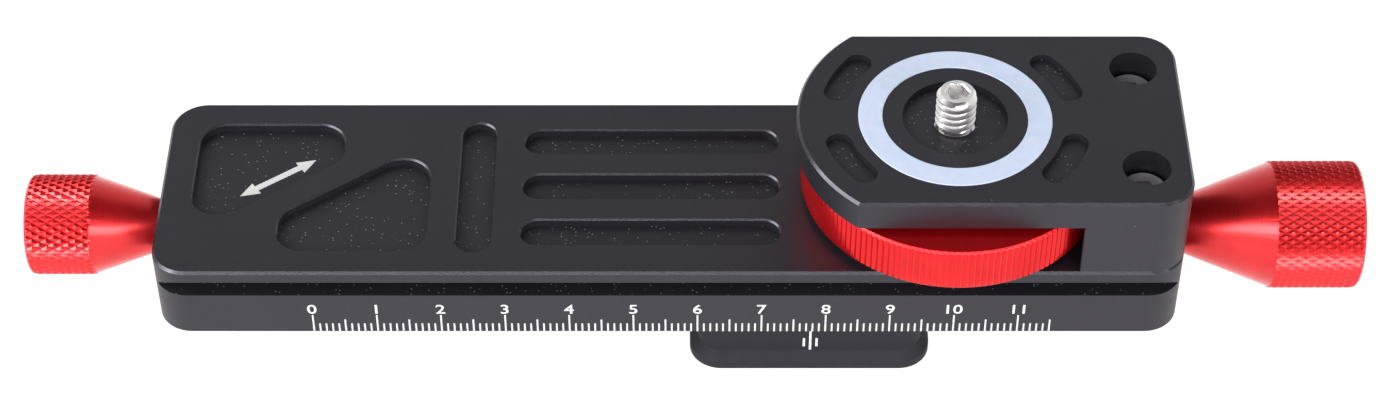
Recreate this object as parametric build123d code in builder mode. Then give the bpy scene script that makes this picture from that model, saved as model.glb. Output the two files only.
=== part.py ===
from build123d import *
import os
from math import cos, radians, tan

# A macro focusing rail: a long aluminium rail slides over a foot that sits on a tripod. A lead
# screw with a knob at each end drives it, and a platform at one end carries the camera screw.
# Millimetres. Origin: centre of the foot's bottom face, on the tripod socket's axis.
# +X runs along the rail to the platform end, +Z is up.

# ---- driving dimensions ----------------------------------------------------------------------
RAIL_LENGTH = 160.0
RAIL_WIDTH = 38.0
RAIL_HEIGHT = 13.4
CORNER = 5.5                 # plan corner radius of the rail and the platform
TOP_BEVEL = 0.4
SMALL_BEVEL = 0.25

SCALE_ZERO = -55.4           # the scale's zero, from the rail's mid-length
SCALE_SPAN = 115.0           # the last graduation
READING = 77.8               # where the foot's index stands on the scale

FOOT_HEIGHT = 8.7            # rail's underside above the foot's bottom
SLIDE_GAP = 0.3              # gap between the foot and the rail
FOOT_SIDE = 38.0
FOOT_CORNER = 5.0
FOOT_LIP = 1.6
FOOT_SET_BACK = 1.3

SCREW_AXIS_ABOVE_RAIL_BASE = 4.8
CHANNEL_HALF_WIDTH = 13.0
CHANNEL_DEPTH = 9.6
CARRIAGE_LENGTH = 20.0
ROD_PITCH = 20.4             # between the two guide rods
ROD_DIAMETER = 3.0
LEAD_DIAMETER = 6.0
JOURNAL_DIAMETER = 5.0

PLATFORM_HEIGHT = 15.0       # rail's top to the camera plate's top
PLATE_THICKNESS = 5.1
POST_FROM_MIDDLE = 44.45     # camera screw's axis, from the rail's mid-length
PLATE_ARC = 24.5             # round end of the camera plate
BLOCK_ARC = 26.4             # hollow face of the block behind the thumb wheel
WHEEL_RADIUS = 23.6
WHEEL_HEIGHT = 7.8
WHEEL_CLEARANCE = 1.2        # rail's top to the thumb wheel
POST_DIAMETER = 6.35
POST_PROUD = 5.5

POCKET_DEPTH = 1.4
RECESS_DEPTH = 1.0

PRESS_FIT = 0.02             # differences in diameter: a pressed or glued piece in its seat
THREAD_FIT = 0.04            # a screw in the plain hole that stands for its thread
RUNNING_FIT = 0.1            # a shaft in its bush
CLEARANCE = 0.3              # a screw or a shoulder that passes freely

# ---- places worked out from them ---------------------------------------------------------------
MIDDLE = -(SCALE_ZERO + READING)              # X of the rail's mid-length
LEFT_END = MIDDLE - RAIL_LENGTH / 2
RIGHT_END = MIDDLE + RAIL_LENGTH / 2
RAIL_BASE = FOOT_HEIGHT
RAIL_TOP = RAIL_BASE + RAIL_HEIGHT
AXIS = RAIL_BASE + SCREW_AXIS_ABOVE_RAIL_BASE
HALF = RAIL_WIDTH / 2
TRAVEL_SPARE = 0.9
CHANNEL_LEFT = MIDDLE + SCALE_ZERO - CARRIAGE_LENGTH / 2 - TRAVEL_SPARE
CHANNEL_RIGHT = MIDDLE + SCALE_ZERO + SCALE_SPAN + CARRIAGE_LENGTH / 2 + TRAVEL_SPARE
PLATE_TOP = RAIL_TOP + PLATFORM_HEIGHT
PLATE_BASE = PLATE_TOP - PLATE_THICKNESS
POST_X = MIDDLE + POST_FROM_MIDDLE
POST_TOP = PLATE_TOP + POST_PROUD
WHEEL_BASE = RAIL_TOP + WHEEL_CLEARANCE
WHEEL_TOP = WHEEL_BASE + WHEEL_HEIGHT
FOOT_TOP = RAIL_BASE - SLIDE_GAP
ROD_Y = ROD_PITCH / 2
PASS = 1.0                                    # how far a cutting tool runs past a face
END_GAP = 0.1                                 # air at the bottom of a blind hole

os.makedirs("parts", exist_ok=True)


def keep(builder, name):
    """Label a finished piece and write it."""
    builder.part.label = name
    export_step(builder.part, f"parts/{name}.step")


def bar(x_low, x_high, centres, diameter, mode=Mode.ADD):
    """Round bars along X, in the part being built, between two X values at the given (Y, Z)."""
    with BuildSketch(Plane.YZ.offset(x_low)) as discs:
        with Locations(*centres):
            Circle(diameter / 2)
    extrude(discs.sketch, amount=x_high - x_low, mode=mode)


def tube(x_low, x_high, centres, outer, inner):
    """Round tubes along X."""
    bar(x_low, x_high, centres, outer)
    bar(x_low - PASS, x_high + PASS, centres, inner, mode=Mode.SUBTRACT)


def post(z_low, z_high, centres, diameter, mode=Mode.ADD):
    """Round posts along Z between two heights at the given (X, Y)."""
    with BuildSketch(Plane.XY.offset(z_low)) as discs:
        with Locations(*centres):
            Circle(diameter / 2)
    extrude(discs.sketch, amount=z_high - z_low, mode=mode)


def hexagon(plane, centres, across_flats, depth):
    """Cut hexagon sockets into the part being built, from a plane along its normal."""
    with BuildSketch(plane) as sockets:
        with Locations(*centres):
            RegularPolygon(across_flats / 2, 6, major_radius=False)
    extrude(sockets.sketch, amount=depth, mode=Mode.SUBTRACT)


# ---- rail --------------------------------------------------------------------------------------
NOTCH_FLOOR = RAIL_BASE + 8.4        # dovetail groove in each long side
NOTCH_DEPTH = 2.9

FASTENER_X = MIDDLE + 73.0           # platform screws
FASTENER_PITCH = 22.2
SHANK_DIAMETER = 4.0
THREAD_DEPTH = 5.0                   # platform screws into the rail
DOWEL_X = MIDDLE + 76.5
DOWEL_PITCH = 10.0
DOWEL_DIAMETER = 3.0
DOWEL_DEPTH = 3.0
fastener_places = [(FASTENER_X, side * FASTENER_PITCH / 2) for side in (-1, 1)]
dowel_places = [(DOWEL_X, side * DOWEL_PITCH / 2) for side in (-1, 1)]
rod_places = [(side * ROD_Y, AXIS) for side in (-1, 1)]
axis_place = [(0, AXIS)]
post_place = [(POST_X, 0)]

BUSH_OUTER = 7.0
ROD_SOCKET = 5.0                     # how far a rod enters the blind end wall
ROD_PLUG_DIAMETER = 4.0
ROD_PLUG_LENGTH = 4.0
ROD_PLUG_SUNK = 0.3
ROD_PLUG_KEY = 2.0                   # hexagon socket, across flats and deep
PILOT_DIAMETER = 4.9                 # lower end of the camera screw
PILOT_DEPTH = 2.0

BAND_FROM_MIDDLE = -56.4             # centre of the slanting band between the two pockets
BAND_ANGLE = radians(35.7)
BAND_WIDTH = 4.8
BAND_DROP = BAND_WIDTH / 2 / cos(BAND_ANGLE)
POCKET_LEFT = -4.5                   # one pocket's walls, from the band's centre
POCKET_RIGHT = 18.6
POCKET_FRONT = -14.0
POCKET_BACK = 6.1
POCKET_CORNER = 4.2
SLOT_WIDTH = 5.3
CROSS_SLOT_FROM_MIDDLE = -30.35
CROSS_SLOT_LENGTH = 28.6
LONG_SLOT_FROM_MIDDLE = -2.75
LONG_SLOT_LENGTH = 40.3
LONG_SLOT_PITCH = 10.1

with BuildPart() as rail_body:
    with BuildSketch(Plane.XY.offset(RAIL_BASE)):
        with Locations((MIDDLE, 0)):
            RectangleRounded(RAIL_LENGTH, RAIL_WIDTH, CORNER)
    extrude(amount=RAIL_HEIGHT)
    chamfer(rail_body.edges().group_by(Axis.Z)[-1], TOP_BEVEL)
    chamfer(rail_body.edges().group_by(Axis.Z)[0], SMALL_BEVEL)
    # dovetail groove along each side
    with BuildSketch(Plane.YZ.offset(LEFT_END - PASS)):
        with BuildLine():
            Polyline(
                (HALF + PASS, NOTCH_FLOOR),
                (HALF - NOTCH_DEPTH, NOTCH_FLOOR),
                (HALF, NOTCH_FLOOR + NOTCH_DEPTH),
                (HALF + PASS, NOTCH_FLOOR + NOTCH_DEPTH),
                close=True,
            )
        make_face()
        mirror(about=Plane.YZ)
    extrude(amount=RAIL_LENGTH + 2 * PASS, mode=Mode.SUBTRACT)
    # channel in the underside, where the carriage runs
    with BuildSketch(Plane.XY.offset(RAIL_BASE - PASS)):
        with Locations(((CHANNEL_LEFT + CHANNEL_RIGHT) / 2, 0)):
            Rectangle(CHANNEL_RIGHT - CHANNEL_LEFT, 2 * CHANNEL_HALF_WIDTH)
    extrude(amount=CHANNEL_DEPTH + PASS, mode=Mode.SUBTRACT)
    # end walls: bush seats for the lead screw and sockets for the guide rods
    bar(LEFT_END - PASS, RIGHT_END + PASS, axis_place, BUSH_OUTER, mode=Mode.SUBTRACT)
    bar(CHANNEL_LEFT - ROD_SOCKET, RIGHT_END + PASS, rod_places, ROD_DIAMETER, mode=Mode.SUBTRACT)
    bar(RIGHT_END - ROD_PLUG_LENGTH, RIGHT_END + PASS, rod_places, ROD_PLUG_DIAMETER,
        mode=Mode.SUBTRACT)
    # shallow pockets in the top: two five-sided ones beside a slanting band, then four slots
    with BuildSketch(Plane.XY.offset(RAIL_TOP)):
        for turn in (0, 180):
            with BuildSketch(mode=Mode.PRIVATE) as five_sided:
                with BuildLine():
                    Polyline(
                        (POCKET_LEFT, POCKET_FRONT),
                        (POCKET_RIGHT, POCKET_FRONT),
                        (POCKET_RIGHT, POCKET_BACK),
                        ((POCKET_BACK + BAND_DROP) / tan(BAND_ANGLE), POCKET_BACK),
                        (POCKET_LEFT, POCKET_LEFT * tan(BAND_ANGLE) - BAND_DROP),
                        close=True,
                    )
                make_face()
                fillet(five_sided.vertices(), POCKET_CORNER)
            with Locations(Location((MIDDLE + BAND_FROM_MIDDLE, 0, 0), (0, 0, turn))):
                add(five_sided.sketch)
        with Locations((MIDDLE + CROSS_SLOT_FROM_MIDDLE, 0)):
            SlotOverall(CROSS_SLOT_LENGTH, SLOT_WIDTH, rotation=90)
        with Locations((MIDDLE + LONG_SLOT_FROM_MIDDLE, 0)):
            with GridLocations(0, LONG_SLOT_PITCH, 1, 3):
                SlotOverall(LONG_SLOT_LENGTH, SLOT_WIDTH)
    extrude(amount=-POCKET_DEPTH, mode=Mode.SUBTRACT)
    top_face = rail_body.faces().sort_by(Axis.Z)[-1]
    chamfer([edge for rim in top_face.inner_wires() for edge in rim.edges()], SMALL_BEVEL)
    # holes under the platform
    post(RAIL_TOP - THREAD_DEPTH, RAIL_TOP + PASS, fastener_places, SHANK_DIAMETER + THREAD_FIT,
         mode=Mode.SUBTRACT)
    post(RAIL_TOP - DOWEL_DEPTH, RAIL_TOP + PASS, dowel_places, DOWEL_DIAMETER, mode=Mode.SUBTRACT)
    post(RAIL_TOP - PILOT_DEPTH, RAIL_TOP + PASS, post_place, PILOT_DIAMETER + RUNNING_FIT,
         mode=Mode.SUBTRACT)
keep(rail_body, "rail_body")

with BuildPart() as left_end_bush:
    tube(LEFT_END + SMALL_BEVEL, CHANNEL_LEFT, axis_place, BUSH_OUTER - PRESS_FIT,
         JOURNAL_DIAMETER + RUNNING_FIT)
keep(left_end_bush, "left_end_bush")

with BuildPart() as right_end_bush:
    tube(CHANNEL_RIGHT, RIGHT_END - SMALL_BEVEL, axis_place, BUSH_OUTER - PRESS_FIT,
         JOURNAL_DIAMETER + RUNNING_FIT)
keep(right_end_bush, "right_end_bush")

with BuildPart() as guide_rods:
    bar(CHANNEL_LEFT - ROD_SOCKET + END_GAP, RIGHT_END - ROD_PLUG_LENGTH - END_GAP, rod_places,
        ROD_DIAMETER - PRESS_FIT)
keep(guide_rods, "guide_rods")

with BuildPart() as rod_plugs:
    bar(RIGHT_END - ROD_PLUG_LENGTH, RIGHT_END - ROD_PLUG_SUNK, rod_places,
        ROD_PLUG_DIAMETER - THREAD_FIT)
    hexagon(Plane.YZ.offset(RIGHT_END - ROD_PLUG_SUNK), rod_places, ROD_PLUG_KEY, -ROD_PLUG_KEY)
keep(rod_plugs, "rod_plugs")

# ---- camera platform ---------------------------------------------------------------------------
RING_OUTER = 30.0
RING_INNER = 22.5
RING_DEPTH = 1.0
RING_PROUD = 0.15
RING_ROUND = 0.12
RECESS_DIAMETER = 16.3
ARC_POCKET_RADIUS = 19.0
ARC_POCKET_WIDTH = 4.1
ARC_POCKET_FROM = 17.5               # degrees from the X axis to a pocket's end centres
ARC_POCKET_TO = 40.3
HEAD_DIAMETER = 7.0                  # platform screws, M4 with a cylindrical head
HEAD_HEIGHT = 4.0
HEAD_SUNK = 4.3
COUNTERBORE = 7.45
PLATFORM_KEY = 3.0                   # hexagon socket across flats
PLATFORM_KEY_DEPTH = 2.2
DOWEL_IN_BLOCK = 6.0
POST_BUSH_DIAMETER = 9.0
POST_BUSH_HEIGHT = 3.0
SHARP_CORNER = 0.8
HEAD_BASE = PLATE_TOP - HEAD_SUNK - HEAD_HEIGHT

with BuildPart() as camera_platform:
    # block behind the thumb wheel
    with BuildSketch(Plane.XY.offset(RAIL_TOP)) as block_outline:
        with Locations(((POST_X + RIGHT_END) / 2, 0)):
            Rectangle(RIGHT_END - POST_X, RAIL_WIDTH)
        fillet(block_outline.vertices().group_by(Axis.X)[-1], CORNER)
        with Locations((POST_X, 0)):
            Circle(BLOCK_ARC, mode=Mode.SUBTRACT)
        fillet(block_outline.vertices().group_by(Axis.X)[0], SHARP_CORNER / 2)
    extrude(amount=PLATE_BASE - RAIL_TOP)
    chamfer(camera_platform.edges().group_by(Axis.Z)[0], TOP_BEVEL)
    # plate over the wheel, round at its free end
    with BuildSketch(Plane.XY.offset(PLATE_BASE)) as plate_outline:
        with Locations((POST_X, 0)):
            Circle(PLATE_ARC)
            Rectangle(2 * PLATE_ARC, RAIL_WIDTH, mode=Mode.INTERSECT)
        with Locations(((POST_X + RIGHT_END) / 2, 0)):
            Rectangle(RIGHT_END - POST_X, RAIL_WIDTH)
        fillet(plate_outline.vertices().group_by(Axis.X)[-1], CORNER)
        fillet(plate_outline.vertices().group_by(Axis.X)[0], SHARP_CORNER)
    extrude(amount=PLATE_THICKNESS)
    chamfer(camera_platform.edges().group_by(Axis.Z)[-1], TOP_BEVEL)
    # groove for the grip ring
    with BuildSketch(Plane.XY.offset(PLATE_TOP)):
        with Locations((POST_X, 0)):
            Circle((RING_OUTER + RUNNING_FIT) / 2)
            Circle((RING_INNER - RUNNING_FIT) / 2, mode=Mode.SUBTRACT)
    extrude(amount=-RING_DEPTH, mode=Mode.SUBTRACT)
    # recess round the camera screw, and four curved pockets
    with BuildSketch(Plane.XY.offset(PLATE_TOP)):
        with Locations((POST_X, 0)):
            Circle(RECESS_DIAMETER / 2)
    extrude(amount=-RECESS_DEPTH, mode=Mode.SUBTRACT)
    with BuildSketch(Plane.XY.offset(PLATE_TOP)):
        for start in (ARC_POCKET_FROM, 180 - ARC_POCKET_TO, 180 + ARC_POCKET_FROM, 360 - ARC_POCKET_TO):
            SlotArc(
                CenterArc((POST_X, 0), ARC_POCKET_RADIUS, start, ARC_POCKET_TO - ARC_POCKET_FROM),
                ARC_POCKET_WIDTH,
            )
    extrude(amount=-RECESS_DEPTH, mode=Mode.SUBTRACT)
    # camera screw's hole, wide below for its bush
    post(PLATE_BASE - PASS, PLATE_TOP + PASS, post_place, POST_DIAMETER + CLEARANCE,
         mode=Mode.SUBTRACT)
    post(PLATE_BASE - PASS, PLATE_BASE + POST_BUSH_HEIGHT, post_place, POST_BUSH_DIAMETER,
         mode=Mode.SUBTRACT)
    # counterbored screw holes and blind dowel holes
    post(RAIL_TOP - PASS, PLATE_TOP + PASS, fastener_places, SHANK_DIAMETER + CLEARANCE,
         mode=Mode.SUBTRACT)
    post(HEAD_BASE, PLATE_TOP + PASS, fastener_places, COUNTERBORE, mode=Mode.SUBTRACT)
    post(RAIL_TOP - PASS, RAIL_TOP + DOWEL_IN_BLOCK, dowel_places, DOWEL_DIAMETER,
         mode=Mode.SUBTRACT)
keep(camera_platform, "camera_platform")

with BuildPart() as platform_screws:
    post(HEAD_BASE, HEAD_BASE + HEAD_HEIGHT, fastener_places, HEAD_DIAMETER)
    chamfer(platform_screws.edges().group_by(Axis.Z)[-1], SMALL_BEVEL)
    post(RAIL_TOP - THREAD_DEPTH + END_GAP, HEAD_BASE, fastener_places, SHANK_DIAMETER)
    hexagon(Plane.XY.offset(HEAD_BASE + HEAD_HEIGHT), fastener_places, PLATFORM_KEY,
            -PLATFORM_KEY_DEPTH)
keep(platform_screws, "platform_screws")

with BuildPart() as platform_pins:
    post(RAIL_TOP - DOWEL_DEPTH + END_GAP, RAIL_TOP + DOWEL_IN_BLOCK - END_GAP, dowel_places,
         DOWEL_DIAMETER - PRESS_FIT)
keep(platform_pins, "platform_pins")

with BuildPart() as grip_ring:
    with BuildSketch(Plane.XY.offset(PLATE_TOP - RING_DEPTH)):
        with Locations((POST_X, 0)):
            Circle(RING_OUTER / 2)
            Circle(RING_INNER / 2, mode=Mode.SUBTRACT)
    extrude(amount=RING_DEPTH + RING_PROUD)
    fillet(grip_ring.edges().group_by(Axis.Z)[-1], RING_ROUND)
keep(grip_ring, "grip_ring")

with BuildPart() as post_bush:
    post(PLATE_BASE, PLATE_BASE + POST_BUSH_HEIGHT, post_place, POST_BUSH_DIAMETER - PRESS_FIT)
    post(PLATE_BASE - PASS, PLATE_TOP, post_place, POST_DIAMETER + RUNNING_FIT, mode=Mode.SUBTRACT)
keep(post_bush, "post_bush")

# ---- thumb wheel and camera screw --------------------------------------------------------------
WHEEL_BEVEL = 0.45
SPIGOT_END = RAIL_TOP - PILOT_DEPTH + CLEARANCE
WHEEL_SCREW_DIAMETER = 3.0
WHEEL_SCREW_LENGTH = 6.0
THREAD_START = PLATE_TOP - 0.4       # where the camera screw's thread begins
RELIEF_HEIGHT = 0.8
RELIEF_DIAMETER = 5.0
POST_BEVEL = 0.6
POST_KEY = 3.2                       # hexagon socket across flats
POST_KEY_DEPTH = 3.0
WHEEL_SCREW_KEY = 1.5
WHEEL_SCREW_KEY_DEPTH = 2.0
WASHER_DIAMETER = 16.0
WASHER_GAP = 0.3
wheel_screw_place = [(POST_X, (WHEEL_BASE + WHEEL_TOP) / 2)]

with BuildPart() as thumb_wheel:
    post(WHEEL_BASE, WHEEL_TOP, post_place, 2 * WHEEL_RADIUS)
    chamfer(thumb_wheel.edges().filter_by(GeomType.CIRCLE), WHEEL_BEVEL)
    post(WHEEL_BASE - PASS, WHEEL_TOP + PASS, post_place, POST_DIAMETER + PRESS_FIT,
         mode=Mode.SUBTRACT)
    with BuildSketch(Plane.XZ.offset(-WHEEL_RADIUS - PASS)):
        with Locations(*wheel_screw_place):
            Circle(WHEEL_SCREW_DIAMETER / 2)
    extrude(amount=WHEEL_RADIUS + PASS - POST_DIAMETER / 4, mode=Mode.SUBTRACT)
keep(thumb_wheel, "thumb_wheel")

with BuildPart() as camera_screw:
    post(WHEEL_BASE, POST_TOP, post_place, POST_DIAMETER)
    chamfer(camera_screw.edges().group_by(Axis.Z)[-1], POST_BEVEL)
    post(SPIGOT_END, WHEEL_BASE, post_place, PILOT_DIAMETER)
    # thread relief just under the recess floor
    with BuildSketch(Plane.XY.offset(THREAD_START - RELIEF_HEIGHT)):
        with Locations((POST_X, 0)):
            Circle(POST_DIAMETER / 2 + PASS)
            Circle(RELIEF_DIAMETER / 2, mode=Mode.SUBTRACT)
    extrude(amount=RELIEF_HEIGHT, mode=Mode.SUBTRACT)
    hexagon(Plane.XY.offset(POST_TOP), post_place, POST_KEY, -POST_KEY_DEPTH)
keep(camera_screw, "camera_screw")

wheel_screw_back = Plane.XZ.offset(-(POST_DIAMETER + THREAD_FIT) / 2 - WHEEL_SCREW_LENGTH)
with BuildPart() as wheel_set_screw:
    with BuildSketch(wheel_screw_back):
        with Locations(*wheel_screw_place):
            Circle((WHEEL_SCREW_DIAMETER - THREAD_FIT) / 2)
    extrude(amount=WHEEL_SCREW_LENGTH)
    hexagon(wheel_screw_back, wheel_screw_place, WHEEL_SCREW_KEY, WHEEL_SCREW_KEY_DEPTH)
keep(wheel_set_screw, "wheel_set_screw")

with BuildPart() as upper_wheel_washer:
    post(WHEEL_TOP, PLATE_BASE - WASHER_GAP, post_place, WASHER_DIAMETER)
    post(WHEEL_TOP - PASS, PLATE_BASE + PASS, post_place, POST_DIAMETER + CLEARANCE,
         mode=Mode.SUBTRACT)
keep(upper_wheel_washer, "upper_wheel_washer")

with BuildPart() as lower_wheel_washer:
    post(RAIL_TOP + WASHER_GAP, WHEEL_BASE, post_place, WASHER_DIAMETER)
    post(RAIL_TOP, WHEEL_BASE + PASS, post_place, PILOT_DIAMETER + CLEARANCE, mode=Mode.SUBTRACT)
keep(lower_wheel_washer, "lower_wheel_washer")

# ---- lead screw and its knobs ------------------------------------------------------------------
KNOB_GAP = 0.3
LEFT_KNOB_OUTER = MIDDLE - 101.6
LEFT_KNOB_SHOULDER = MIDDLE - 91.3
LEFT_KNOB_RADIUS = 8.0
RIGHT_KNOB_OUTER = MIDDLE + 109.65
RIGHT_KNOB_SHOULDER = MIDDLE + 95.75
RIGHT_KNOB_RADIUS = 10.15
CONE_STEP = 0.35                     # the cone starts this much inside the knurl
NECK_RADIUS = 3.9
KNOB_BEVEL = 0.5
LEFT_NECK = LEFT_END - KNOB_GAP
RIGHT_NECK = RIGHT_END + KNOB_GAP
LEFT_JOURNAL_END = LEFT_NECK - 14.0           # how far the lead screw reaches into each knob
RIGHT_JOURNAL_END = RIGHT_NECK + 18.0
GRUB_DIAMETER = 3.0
GRUB_FROM_NECK = 5.0
GRUB_LENGTH = 2.4
GRUB_KEY = 1.5                       # hexagon socket across flats
GRUB_KEY_DEPTH = 1.2
THRUST_GAP = 0.1
THRUST_THICKNESS = 0.5
THRUST_DIAMETER = 8.4
THREAD_LEFT = CHANNEL_LEFT + THRUST_GAP + THRUST_THICKNESS
THREAD_RIGHT = CHANNEL_RIGHT - THRUST_GAP - THRUST_THICKNESS
grub_xs = (LEFT_NECK - GRUB_FROM_NECK, RIGHT_NECK + GRUB_FROM_NECK)
GRUB_TOP = AXIS - (JOURNAL_DIAMETER + THREAD_FIT) / 2
grub_places = [(x, 0) for x in grub_xs]


def knob(outer, shoulder, neck, radius, journal_end, grub_x):
    """Build a knob: a knurled barrel, a cone down to the neck, a blind bore and a grub screw hole."""
    towards_neck = 1 if neck > outer else -1
    with BuildSketch(Plane.XZ) as profile:
        with BuildLine():
            Polyline(
                (outer, AXIS),
                (outer, AXIS + radius - KNOB_BEVEL),
                (outer + towards_neck * KNOB_BEVEL, AXIS + radius),
                (shoulder, AXIS + radius),
                (shoulder + towards_neck * CONE_STEP, AXIS + radius - CONE_STEP),
                (neck, AXIS + NECK_RADIUS),
                (neck, AXIS),
                close=True,
            )
        make_face()
    revolve(profile.sketch, axis=Axis((0, 0, AXIS), (1, 0, 0)))
    bore_end = journal_end - towards_neck * END_GAP
    low, high = sorted((bore_end, neck + towards_neck * PASS))
    bar(low, high, axis_place, JOURNAL_DIAMETER + PRESS_FIT, mode=Mode.SUBTRACT)
    post(AXIS - radius - PASS, AXIS, [(grub_x, 0)], GRUB_DIAMETER, mode=Mode.SUBTRACT)


with BuildPart() as left_knob:
    knob(LEFT_KNOB_OUTER, LEFT_KNOB_SHOULDER, LEFT_NECK, LEFT_KNOB_RADIUS, LEFT_JOURNAL_END, grub_xs[0])
keep(left_knob, "left_knob")

with BuildPart() as right_knob:
    knob(RIGHT_KNOB_OUTER, RIGHT_KNOB_SHOULDER, RIGHT_NECK, RIGHT_KNOB_RADIUS, RIGHT_JOURNAL_END,
         grub_xs[1])
keep(right_knob, "right_knob")

with BuildPart() as knob_set_screws:
    post(GRUB_TOP - GRUB_LENGTH, GRUB_TOP, grub_places, GRUB_DIAMETER - THREAD_FIT)
    hexagon(Plane.XY.offset(GRUB_TOP - GRUB_LENGTH), grub_places, GRUB_KEY, GRUB_KEY_DEPTH)
keep(knob_set_screws, "knob_set_screws")

with BuildPart() as lead_screw:
    bar(LEFT_JOURNAL_END, RIGHT_JOURNAL_END, axis_place, JOURNAL_DIAMETER)
    bar(THREAD_LEFT, THREAD_RIGHT, axis_place, LEAD_DIAMETER)
keep(lead_screw, "lead_screw")

with BuildPart() as thrust_washers:
    for low, high in ((CHANNEL_LEFT + THRUST_GAP, THREAD_LEFT), (THREAD_RIGHT, CHANNEL_RIGHT - THRUST_GAP)):
        tube(low, high, axis_place, THRUST_DIAMETER, JOURNAL_DIAMETER + THREAD_FIT)
keep(thrust_washers, "thrust_washers")

# ---- foot and carriage -------------------------------------------------------------------------
FOOT_UPPER_SIDE = FOOT_SIDE - 2 * FOOT_SET_BACK
FOOT_SLOPE_RISE = 1.6
SOCKET_DEPTH = 7.0
SOCKET_DIAMETER = 9.6                # seat of the thread adapter
ADAPTER_LENGTH = 6.5
ADAPTER_BORE = 6.4
ADAPTER_SLOT = 1.2
ADAPTER_SLOT_DEPTH = 0.9
FOOT_SCREW_DIAMETER = 3.0
FOOT_SCREW_HEAD = 6.0
FOOT_SCREW_SUNK = 0.3
FOOT_SCREW_END = 12.4
FOOT_KEY = 2.0                       # hexagon socket across flats
FOOT_KEY_DEPTH = 1.3
foot_screw_places = [(x, y) for x in (-6.5, 6.5) for y in (-6.1, 6.1)]
FOOT_PIN_DIAMETER = 2.5
foot_pin_places = [(0, -9.9), (0, 9.9)]
FOOT_PIN_BASE = 5.0
FOOT_PIN_TOP = 10.8


def countersunk(z_low, head, shank, centres, z_end, mode=Mode.ADD):
    """Heads that narrow upwards at 45 degrees from z_low, on shanks up to z_end."""
    with BuildSketch(Plane.XY.offset(z_low)) as heads:
        with Locations(*centres):
            Circle(head / 2)
    extrude(heads.sketch, amount=(head - shank - PRESS_FIT) / 2, taper=45, mode=mode)
    post(z_low, z_end, centres, shank, mode=mode)


with BuildPart() as foot_plate:
    # dovetail base: a vertical lip, a 45 degree shoulder, then an upright upper block
    with BuildSketch(Plane.XY):
        RectangleRounded(FOOT_SIDE, FOOT_SIDE, FOOT_CORNER)
    extrude(amount=FOOT_LIP + FOOT_SLOPE_RISE)
    shoulder = foot_plate.faces().sort_by(Axis.Z)[-1]
    chamfer(shoulder.edges(), FOOT_SET_BACK, FOOT_SLOPE_RISE, reference=shoulder)
    chamfer(foot_plate.edges().group_by(Axis.Z)[0], SMALL_BEVEL)
    with BuildSketch(Plane.XY.offset(FOOT_LIP + FOOT_SLOPE_RISE)):
        RectangleRounded(FOOT_UPPER_SIDE, FOOT_UPPER_SIDE, FOOT_CORNER - FOOT_SET_BACK)
    extrude(amount=FOOT_TOP - FOOT_LIP - FOOT_SLOPE_RISE)
    post(-PASS, SOCKET_DEPTH, [(0, 0)], SOCKET_DIAMETER, mode=Mode.SUBTRACT)
    post(-PASS, FOOT_SCREW_SUNK, foot_screw_places, FOOT_SCREW_HEAD + CLEARANCE, mode=Mode.SUBTRACT)
    countersunk(FOOT_SCREW_SUNK, FOOT_SCREW_HEAD + CLEARANCE, FOOT_SCREW_DIAMETER + CLEARANCE,
                foot_screw_places, FOOT_TOP + PASS, mode=Mode.SUBTRACT)
    post(FOOT_PIN_BASE, FOOT_TOP + PASS, foot_pin_places, FOOT_PIN_DIAMETER, mode=Mode.SUBTRACT)
keep(foot_plate, "foot_plate")

with BuildPart() as foot_screws:
    countersunk(FOOT_SCREW_SUNK, FOOT_SCREW_HEAD, FOOT_SCREW_DIAMETER, foot_screw_places, FOOT_SCREW_END)
    hexagon(Plane.XY.offset(FOOT_SCREW_SUNK), foot_screw_places, FOOT_KEY, FOOT_KEY_DEPTH)
keep(foot_screws, "foot_screws")

with BuildPart() as foot_pins:
    post(FOOT_PIN_BASE + END_GAP, FOOT_PIN_TOP - END_GAP, foot_pin_places,
         FOOT_PIN_DIAMETER - PRESS_FIT)
keep(foot_pins, "foot_pins")

with BuildPart() as thread_adapter:
    post(0, ADAPTER_LENGTH, [(0, 0)], SOCKET_DIAMETER - THREAD_FIT)
    post(-PASS, ADAPTER_LENGTH + PASS, [(0, 0)], ADAPTER_BORE, mode=Mode.SUBTRACT)
    with BuildSketch(Plane.XY):
        Rectangle(SOCKET_DIAMETER + PASS, ADAPTER_SLOT)
    extrude(amount=ADAPTER_SLOT_DEPTH, mode=Mode.SUBTRACT)
keep(thread_adapter, "thread_adapter")

ROOF_GAP = 0.4
CARRIAGE_TOP = RAIL_BASE + CHANNEL_DEPTH - ROOF_GAP
CARRIAGE_HALF = CARRIAGE_LENGTH / 2
GUIDE_BUSH_OUTER = 4.4
GUIDE_BUSH_LENGTH = 8.0
GUIDE_BUSH_INSET = 0.3
NUT_DIAMETER = 8.6
NUT_LENGTH = 15.0
FLANGE_THICKNESS = 2.0
FLANGE_WIDTH = 13.6
FLANGE_HEIGHT = 8.0
NUT_SCREW_Y = 5.0
NUT_SCREW_HEAD = 3.0
NUT_SCREW_HEAD_HEIGHT = 1.0
NUT_SCREW_DIAMETER = 1.6
NUT_SCREW_LENGTH = 6.0
NUT_SCREW_END = -CARRIAGE_HALF + NUT_SCREW_HEAD_HEIGHT + NUT_SCREW_LENGTH
nut_screw_places = [(side * NUT_SCREW_Y, AXIS) for side in (-1, 1)]


def flange(width, height, x_low, x_high, mode=Mode.ADD):
    """A flat-sided, round-ended flange across the lead screw's axis."""
    with BuildSketch(Plane.YZ.offset(x_low)) as outline:
        with Locations((0, AXIS)):
            SlotOverall(width, height)
    extrude(outline.sketch, amount=x_high - x_low, mode=mode)


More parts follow.
